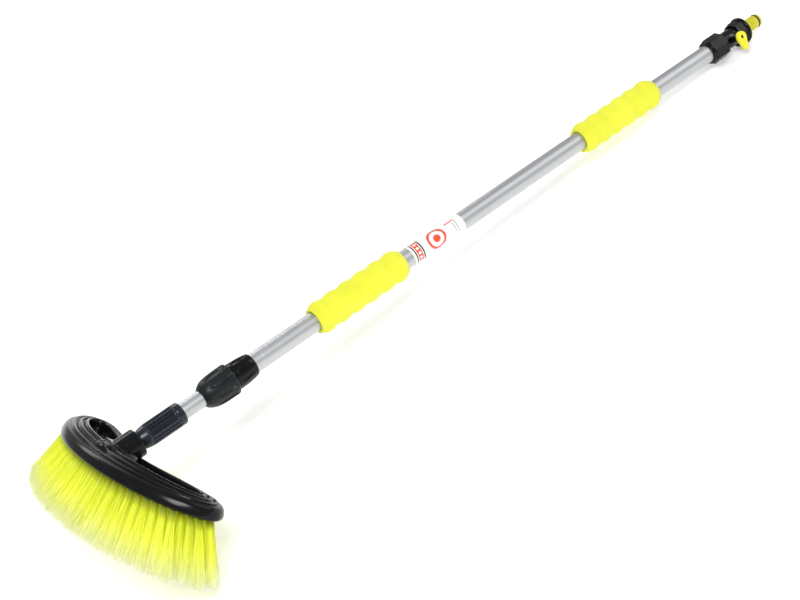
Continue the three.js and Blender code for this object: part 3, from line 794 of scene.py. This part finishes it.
def teardrops(station, radius, angle):
    """Hollows on the lock body, blunt at the nut and pointed to the hose end."""
    if radius[0] < 12.6:
        return radius
    start, end = NUT_END + 4, LOCK_END - 4.5
    along = (station - start) / (end - start)
    if not 0 < along < 1:
        return radius
    pitch = 2 * math.pi / TEARDROPS
    width = pitch * 0.3 * math.sqrt(min(along / 0.22, 1)) * (1 - along) ** 0.65
    around = np.abs(np.mod(angle + 0.35, pitch) - pitch / 2) / max(width, 1e-3)
    return radius - 1.6 * smoothstep(1 - around, 0.0, 0.3) * min(1, (1 - along) * 3) * min(1, along * 8)


def make_lock():
    lip = NUT_START + 4
    nut = [
        (NUT_START, INNER_R + 0.4),
        (lip, INNER_R + 0.4),
        (NUT_START + 12, THREAD_R + 0.5),
        (NUT_END, THREAD_R + 0.5),
        (NUT_END, NUT_R - 0.9),
        (NUT_END - 1.6, NUT_R),
        (NUT_START + 24, NUT_R - 0.1),
        (NUT_START + 16, NUT_R - 0.6),
        (NUT_START + 10, NUT_R - 1.7),
        (NUT_START + 5.5, NUT_R - 3.5),
        (NUT_START + 2.2, NUT_R - 5.7),
        (NUT_START + 0.4, NUT_R - 7.6),
    ]
    points, faces = turned(divided(softened(nut, 1.6), 0.7), 270, scalloped)
    made = piece("scalloped_lock_nut", points, faces, "lock_ring", "charcoal_plastic", CHARCOAL, ["lock_nut"])
    sharpen(made, 60)

    start = NUT_START + 17
    body = [
        (start, 12.4),
        (start + 4.4, 12.4),
        (start + 4.4, INNER_R + 0.35),
        (start + 7.4, INNER_R + 0.35),
        (start + 7.4, OUTER_R + GAP),
        (LOCK_END, OUTER_R + GAP),
        (LOCK_END, 12.0),
        (LOCK_END - 1.4, 13.1),
        (LOCK_END - 6, 14.0),
        (LOCK_END - 14, 14.8),
        (NUT_END + 3.4, LOCK_R),
        (NUT_END + 0.4, LOCK_R - 0.1),
        (NUT_END + 0.3, THREAD_R),
        (start, THREAD_R),
    ]
    points, faces = turned(divided(softened(body, 1.1), 0.7), 240, teardrops)
    made = piece("teardrop_lock_body", points, faces, "outer_pole", "black_plastic", BLACK, ["lock_body"])
    sharpen(made, 60)


# ---------------------------------------------------------------- tubes


def make_tubes():
    start, end = HUB_MOUTH + 17.5, INNER_TUBE_END
    inner = [(start, INNER_BORE), (end, INNER_BORE), (end, INNER_R), (start, INNER_R)]
    points, faces = turned(divided(softened(inner, 0.25, 2), 20), 96)
    sharpen(piece("thin_tube", points, faces, "inner_pole", "aluminium", ALUMINIUM, ["inner_tube"]))

    start, end = NUT_START + 24.7, CLAMP_START + 25.7
    outer = [
        (start, OUTER_BORE),
        (end, OUTER_BORE),
        (end, OUTER_R),
        (BEAD + 4, OUTER_R),
        (BEAD + 2.0, OUTER_R),
        (BEAD + 0.6, OUTER_R + 0.12),
        (BEAD - 0.6, OUTER_R + 0.12),
        (BEAD - 2.0, OUTER_R),
        (BEAD - 4, OUTER_R),
        (start, OUTER_R),
    ]
    points, faces = turned(divided(softened(outer, 0.5, 3), 20), 96)
    sharpen(piece("thick_tube", points, faces, "outer_pole", "aluminium", ALUMINIUM, ["outer_tube"]))


# ---------------------------------------------------------------- foam grips


FOAM_VALLEY_R, FOAM_SWELL, FOAM_WAVES = 16.7, 1.75, 6
FOAM_END_DROP, FOAM_END_LENGTH = 2.6, 9
FOAM_UNEVENNESS = 0.05


def foam_radius(station, start, end):
    """Soft swells along the sleeve, with the ends pulled in."""
    share = (station - start) / (end - start)
    wave = (0.5 - 0.5 * math.cos(2 * math.pi * FOAM_WAVES * share)) ** 0.8
    edge = min(station - start, end - station)
    drop = FOAM_END_DROP * (1 - min(edge / FOAM_END_LENGTH, 1)) ** 2.4
    return FOAM_VALLEY_R + FOAM_SWELL * wave - drop


def make_foam(name, node, span, seed):
    """A foam sleeve: uneven swells round and along it, and softly pressed ends."""
    chance = np.random.default_rng(seed)
    start, end = span
    sides = 120
    stations = np.linspace(start, end, 200)
    angle = 2 * np.pi * np.arange(sides) / sides
    phases = chance.uniform(0, 2 * np.pi, 6)
    rings = []
    for station in stations:
        around = sum(
            FOAM_UNEVENNESS * np.sin(k * angle + phases[k] + station * 0.045 * (k - 2)) for k in range(2, 6)
        )
        rings.append(ring_points(station, foam_radius(station, start, end) + around, angle))
    for station, radius in ((end + 0.2, 14.6), (end - 0.2, 12.2), (end - 1, OUTER_R + 0.35)):
        rings.append(ring_points(station, radius, angle))
    for station in np.linspace(end - 8, start + 8, 12):
        rings.append(ring_points(station, OUTER_R + GAP, angle))
    for station, radius in ((start + 1, OUTER_R + 0.35), (start + 0.2, 12.2), (start - 0.2, 14.6)):
        rings.append(ring_points(station, radius, angle))
    points = np.concatenate(rings)
    faces = grid_faces(len(rings), sides)
    made = piece(name, points, faces, "outer_pole", "yellow_foam", FOAM, [node])


# ---------------------------------------------------------------- label

LABEL_FACING = math.radians(147)  # of the label's middle, round the pole from +Y towards +Z
LABEL_INKS = [LABEL_WHITE, LABEL_RED, LABEL_BLACK, LABEL_GREY]
INK_WHITE, INK_RED, INK_BLACK, INK_GREY = range(4)


def label_ink(station, arc):
    """Which of the label's inks is at a place: station from its head end, arc from its middle, in mm."""
    if 3.2 < station < 4.6 or 13.4 < station < 15.0:
        return INK_BLACK
    if 4.6 <= station < 13.4 and abs(arc) < 14:
        inside = 5.8 < station < 12.2 and math.hypot((station - 9) / 1.2, (arc % 5.6) - 2.8) > 1.7
        return INK_RED if inside else INK_WHITE
    ring = math.hypot(station - 36, arc)
    if 9.4 < ring < 12.4 or ring < 4.6:
        return INK_RED
    if 53 < station < 66 and -8.8 < arc < -7.4:
        return INK_RED
    if 62 < station < 63.2 and abs(arc - 1) < 6:
        return INK_GREY
    if 65.6 < station < 67.0 and abs(arc) < 8:
        return INK_GREY
    return INK_WHITE


def make_label():
    sides, radius = 280, OUTER_R + 0.35
    start, end = LABEL
    stations = np.linspace(start, end, 293)
    angle = 2 * np.pi * np.arange(sides) / sides
    rings = [ring_points(s, radius, angle) for s in stations]
    rings += [ring_points(s, OUTER_R + 0.12, angle) for s in (end, start)]
    faces = grid_faces(len(rings), sides)
    ink = []
    for k in range(len(rings)):
        for i in range(sides):
            if k >= len(stations) - 1:
                ink.append(INK_WHITE)
                continue
            turn = (angle[i] - LABEL_FACING + math.pi) % (2 * math.pi) - math.pi
            ink.append(label_ink((stations[k] + stations[k + 1]) / 2 - start, turn * radius))
    made = piece(
        "printed_label",
        np.concatenate(rings),
        faces,
        "outer_pole",
        "label",
        LABEL_INKS,
        ["label_sleeve"],
        face_material=ink,
    )
    sharpen(made)


# ---------------------------------------------------------------- tube clamp


def octagon(flat):
    """Corners of an octagon with a flat side towards each axis, at this distance."""
    radius = flat / math.cos(math.pi / 8)
    angles = [2 * math.pi * (i + 0.5) / 8 for i in range(8)]
    return [(radius * math.cos(a), radius * math.sin(a)) for a in angles]


def prism_ring(corners, bore, start, end, chamfer, parts=12):
    """A polygonal nut: chamfered ends and a round bore, as one closed loft with each side in parts."""
    outer = []
    for i, corner in enumerate(corners):
        a, b = np.array(corner), np.array(corners[(i + 1) % len(corners)])
        outer += [a + (b - a) * k / parts for k in range(parts)]
    outer = np.array(outer)
    sides = len(outer)
    angle = np.arctan2(outer[:, 1], outer[:, 0])
    narrow = outer * (1 - chamfer / np.abs(outer).max())
    layers = [(start, narrow), (start + chamfer, outer), (end - chamfer, outer), (end, narrow)]
    rings = [np.column_stack([np.full(sides, x), yz]) for x, yz in layers]
    for x, radius in bore:
        rings.append(ring_points(x, radius, angle))
    return np.concatenate(rings), grid_faces(len(rings), sides)


def make_clamp_nut():
    facets_start, lip = CLAMP_START + 4, CLAMP_START + 4.4
    bore = [
        (CLAMP_END - 0.6, CLAMP_BORE),
        (facets_start + 1, CLAMP_BORE),
        (facets_start + 0.6, CLAMP_BORE + 0.4),
    ]
    points, faces = prism_ring(octagon(CLAMP_FLAT), bore, facets_start, CLAMP_END, 1.0)
    nut = piece("faceted_clamp_nut", points, faces, "outer_pole", "black_plastic", BLACK, ["tube_clamp_nut"])
    bevelled(nut, 0.45)
    step = [
        (CLAMP_START + 0.2, OUTER_R + 0.4),
        (lip, OUTER_R + 0.4),
        (lip, CLAMP_BORE),
        (CLAMP_START + 8, CLAMP_BORE),
        (CLAMP_START + 8, CLAMP_FLAT - 0.6),
        (CLAMP_START + 3.2, CLAMP_FLAT - 0.6),
        (CLAMP_START + 2.2, CLAMP_FLAT - 0.9),
        (CLAMP_START + 2.0, CLAMP_FLAT - 1.7),
        (CLAMP_START + 0.9, CLAMP_FLAT - 1.9),
        (CLAMP_START + 0.6, CLAMP_FLAT - 2.7),
        (CLAMP_START + 0.2, CLAMP_FLAT - 3.0),
    ]
    points, faces = turned(divided(softened(step, 0.25, 2), 1), 120)
    sharpen(piece("clamp_nut_steps", points, faces, "outer_pole", "black_plastic", BLACK), 50)


# ---------------------------------------------------------------- valve


def stem_to_pole(points):
    """From the stem's frame (Z outwards along the stem, X along the pole) to the pole's frame."""
    c, s = math.cos(STEM_TILT), math.sin(STEM_TILT)
    points = np.asarray(points, float)
    x, y, z = points[:, 0], points[:, 1], points[:, 2]
    return np.stack([BALL_STATION + x, y * s - z * c, y * c + z * s], -1)


def turned_on_stem(profile, sides=64):
    """A closed profile of [height, radius] turned round the stem's axis."""
    points, faces = turned(profile, sides)
    return stem_to_pole(points[:, [1, 2, 0]]), faces


def make_valve_body():
    mouth, tube_stop = CLAMP_START + 14, CLAMP_START + 26
    body_end = COLLAR_START + BODY_IN_COLLAR
    profile = [
        (mouth, OUTER_R + GAP),
        (mouth, CLAMP_BORE - 0.4),
        (CLAMP_END - 0.4, CLAMP_BORE - 0.4),
        (CLAMP_END + 0.5, 12.7),
        (CLAMP_END + 1.4, 11.9),
        (CLAMP_END + 2.6, 11.6),
        (COLLAR_START + 1, 11.6),
        (COLLAR_START + 3, 12.4),
        (body_end, 12.4),
        (body_end, 9.2),
        (BALL_STATION - 11, 9.2),
        (BALL_STATION - 11, WATER_BORE),
        (tube_stop, WATER_BORE),
        (tube_stop, OUTER_R + GAP),
    ]
    tube = turned(divided(softened(profile, 0.8), 3))
    top, foot = LEVER_PLANE - 0.5, 9.5
    boss_profile = [(foot, 4.6), (top, 4.6), (top, 5.7), (top - 1.8, 6.6), (15, 6.8), (foot, 7.6)]
    boss = turned_on_stem(divided(softened(boss_profile, 0.6), 1))
    made = piece("valve_housing", *join(tube, boss), "outer_pole", "black_plastic", BLACK, ["valve_body"])
    sharpen(made, 60)


def lever_outline(grow, count=40):
    """The lever's outline in its own plane, grown by so much: a round eye and a tapering blade with a round
    tip."""
    eye, tip, reach = 7.4 + grow, 4.2 + grow, 13
    taper = math.asin((eye - tip) / reach)
    points = [(eye * math.cos(a), eye * math.sin(a)) for a in np.linspace(-taper, math.pi + taper, count)]
    points += [
        (tip * math.cos(a), -reach + tip * math.sin(a))
        for a in np.linspace(math.pi + taper, 2 * math.pi - taper, count)
    ]
    return points


def screw_recess(edge, top):
    """Rings from the lever's upper edge to the oval recess over its screw, and down to the recess's floor."""
    angle = np.arctan2(edge[:, 1], edge[:, 0])
    oval = np.stack([2.0 * np.cos(angle), 2.9 * np.sin(angle)], -1)
    rings = []
    for down, towards_edge, grow in ((0.05, 0.6, 1.0), (0.05, 0.0, 1.12), (0.3, 0.0, 1.0), (1.5, 0.0, 1.0)):
        ring = oval * grow * (1 - towards_edge) + edge[:, :2] * towards_edge
        rings.append(np.column_stack([ring, np.full(len(edge), top - down)]))
    return rings


def make_lever():
    layers = [
        (LEVER_PLANE, -0.7),
        (LEVER_PLANE + 0.25, -0.2),
        (LEVER_PLANE + 0.7, 0.0),
        (LEVER_PLANE + LEVER_THICKNESS - 1.1, -0.15),
        (LEVER_PLANE + LEVER_THICKNESS - 0.45, -0.4),
        (LEVER_PLANE + LEVER_THICKNESS - 0.1, -0.95),
        (LEVER_PLANE + LEVER_THICKNESS, -1.6),
    ]
    rings = [np.array([(x, y, z) for x, y in lever_outline(grow)]) for z, grow in layers]
    rings += screw_recess(rings[-1], LEVER_PLANE + LEVER_THICKNESS)
    count = len(rings[0])
    points = stem_to_pole(np.concatenate(rings))
    faces = grid_faces(len(rings), count, wrap_rings=False)
    faces.append(tuple(range(count))[::-1])
    last = (len(rings) - 1) * count
    faces.append(tuple(range(last, last + count)))
    made = piece("yellow_lever", points, faces, "valve_handle", "yellow_plastic", YELLOW, ["valve_lever"])
    sharpen(made, 40)


def make_lever_screw():
    top = LEVER_PLANE + LEVER_THICKNESS
    foot, rim, screw_r = top - 1.55, top - 0.7, 1.9
    head = [(foot, 0.05), (top - 0.75, 0.05), (rim, 0.9), (top - 0.45, 1.5), (rim, screw_r), (foot, screw_r)]
    points, faces = turned_on_stem(softened(head, 0.2, 2), 32)
    piece("dark_screw", points, faces, "valve_handle", "rubber", RUBBER, ["lever_screw"])


# ---------------------------------------------------------------- collar and connector


def make_collar():
    start, end = COLLAR_START, COLLAR_END
    bore = [(end - 3.4, 12.8), (start + 0.6, 12.8)]
    points, faces = prism_ring(octagon(COLLAR_FLAT), bore, start, end - 3, 1.4)
    collar = piece("octagon_collar", points, faces, "outer_pole", "black_plastic", BLACK, ["outlet_collar"])
    bevelled(collar, 0.45)
    rim = [
        (end - 2.6, CONNECTOR_R + 0.4),
        (end - 0.3, CONNECTOR_R + 0.4),
        (end, CONNECTOR_R + 0.8),
        (end, COLLAR_RIM_R - 1.1),
        (end - 0.5, COLLAR_RIM_R - 0.3),
        (end - 1.4, COLLAR_RIM_R),
        (end - 3.2, COLLAR_RIM_R),
        (end - 4.0, COLLAR_RIM_R - 0.5),
        (end - 5.0, COLLAR_RIM_R - 2.0),
        (end - 5.2, 13.4),
        (end - 2.6, 13.2),
    ]
    points, faces = turned(divided(softened(rim, 0.3, 2), 1), 120)
    sharpen(piece("collar_rim", points, faces, "outer_pole", "black_plastic", BLACK), 50)


def make_connector():
    body_end = COLLAR_START + BODY_IN_COLLAR + 2.5
    groove, groove_end = SEAL_GROOVE, SEAL_GROOVE + SEAL_GROOVE_WIDTH
    profile = [
        (body_end, WATER_BORE),
        (TIP - 0.5, WATER_BORE),
        (TIP, WATER_BORE + 0.5),
        (TIP, CONNECTOR_R - 1.8),
        (TIP - 1.8, CONNECTOR_R - 0.4),
        (groove_end, CONNECTOR_R - 0.4),
        (groove_end, CONNECTOR_R - 1.8),
        (groove, CONNECTOR_R - 1.8),
        (groove, CONNECTOR_R),
        (groove - 9.5, CONNECTOR_R),
        (groove - 12, CONNECTOR_R - 1.2),
        (groove - 15, CONNECTOR_R - 1.2),
        (groove - 17, CONNECTOR_R),
        (COLLAR_END - 3, CONNECTOR_R),
        (COLLAR_END - 3, 12.4),
        (body_end, 12.4),
    ]
    points, faces = turned(divided(softened(profile, 0.5, 3), 2), 96)
    made = piece(
        "push_fit_connector", points, faces, "outer_pole", "yellow_plastic", OCHRE, ["hose_connector"]
    )
    sharpen(made, 50)


def make_connector_seal():
    """The O-ring in the connector's groove, slightly flattened."""
    middle, radius, sides = SEAL_GROOVE + SEAL_GROOVE_WIDTH / 2, CONNECTOR_R - 0.5, 16
    turns = np.linspace(0, 2 * math.pi, sides + 1)[:-1]
    section = [(middle + 1.3 * math.cos(a), radius - 0.2 + 1.1 * math.sin(a)) for a in turns]
    points, faces = turned(section)
    piece("connector_seal_ring", points, faces, "outer_pole", "rubber", RUBBER, ["connector_oring"])


# ---------------------------------------------------------------- hidden pieces of the frame

HIDDEN_FINISH = {
    "tube_spigot": NYLON,
    "piston_bush": NYLON,
    "lock_collet": NYLON,
    "tube_grip_ring": NYLON,
    "ball_seat_front": NYLON,
    "ball_seat_rear": NYLON,
    "valve_stem": NYLON,
    "valve_ball": STEEL,
    "head_washer": RUBBER,
    "piston_seal_front": RUBBER,
    "piston_seal_rear": RUBBER,
    "lock_seal": RUBBER,
    "tube_seal": RUBBER,
    "stem_oring": RUBBER,
    "connector_washer": RUBBER,
}


def finish_hidden():
    """Materials for the frame's own pieces that no mesh here replaces."""
    for node, material in HIDDEN_FINISH.items():
        kept = frame["nodes"][node]
        kept.data.materials.clear()
        kept.data.materials.append(material)


# ---------------------------------------------------------------- floor and light


def make_floor():
    mesh = bpy.data.meshes.new("floor")
    half, down = 6, -0.0005
    corners = [(-half, -half, down), (half, -half, down), (half, half, down), (-half, half, down)]
    mesh.from_pydata(corners, [], [(0, 1, 2, 3)])
    made, tree, principled = node_material("pale_floor", 0.9)
    wide = noise(tree, object_point(tree), 3, 2)
    tones = colours(tree, wide, (0.3, (0.93, 0.93, 0.93)), (0.7, (0.95, 0.95, 0.95)))
    tree.links.new(tones, principled.inputs["Base Color"])
    principled.inputs["Specular IOR Level"].default_value = 0.0
    principled.inputs["Emission Color"].default_value = (1, 1, 1, 1)
    principled.inputs["Emission Strength"].default_value = 0.28
    mesh.materials.append(made)
    floor = bpy.data.objects.new("floor", mesh)
    bpy.context.collection.objects.link(floor)


def area_light(name, place, aim, size, power):
    data = bpy.data.lights.new(name, "AREA")
    data.shape = "RECTANGLE"
    data.size, data.size_y = size
    data.energy = power
    made = bpy.data.objects.new(name, data)
    made.location = place
    made.rotation_euler = (Vector(aim) - Vector(place)).to_track_quat("-Z", "Y").to_euler()
    bpy.context.collection.objects.link(made)


def make_light():
    world = bpy.data.worlds.new("studio")
    world.use_nodes = True
    world.node_tree.nodes["Background"].inputs["Color"].default_value = (1, 1, 1, 1)
    world.node_tree.nodes["Background"].inputs["Strength"].default_value = 0.42
    bpy.context.scene.world = world
    area_light("key", (-0.9, -1.4, 2.2), (0, 0, 0), (1.2, 0.7), 44)
    area_light("fill", (1.8, -0.8, 1.4), (0, 0, 0), (1.2, 1.6), 12)
    area_light("back", (0.2, 2.0, 1.6), (0, 0, 0), (2.0, 0.6), 20)
    bpy.context.scene.view_settings.view_transform = "Standard"


make_head()
make_tuft_plate()
make_bristles()
make_coupling()
make_lock()
make_tubes()
make_foam("front_foam", "front_foam_grip", FRONT_FOAM, 11)
make_foam("rear_foam", "rear_foam_grip", REAR_FOAM, 12)
make_label()
make_clamp_nut()
make_valve_body()
make_lever()
make_lever_screw()
make_collar()
make_connector()
make_connector_seal()
finish_hidden()
make_floor()
make_light()
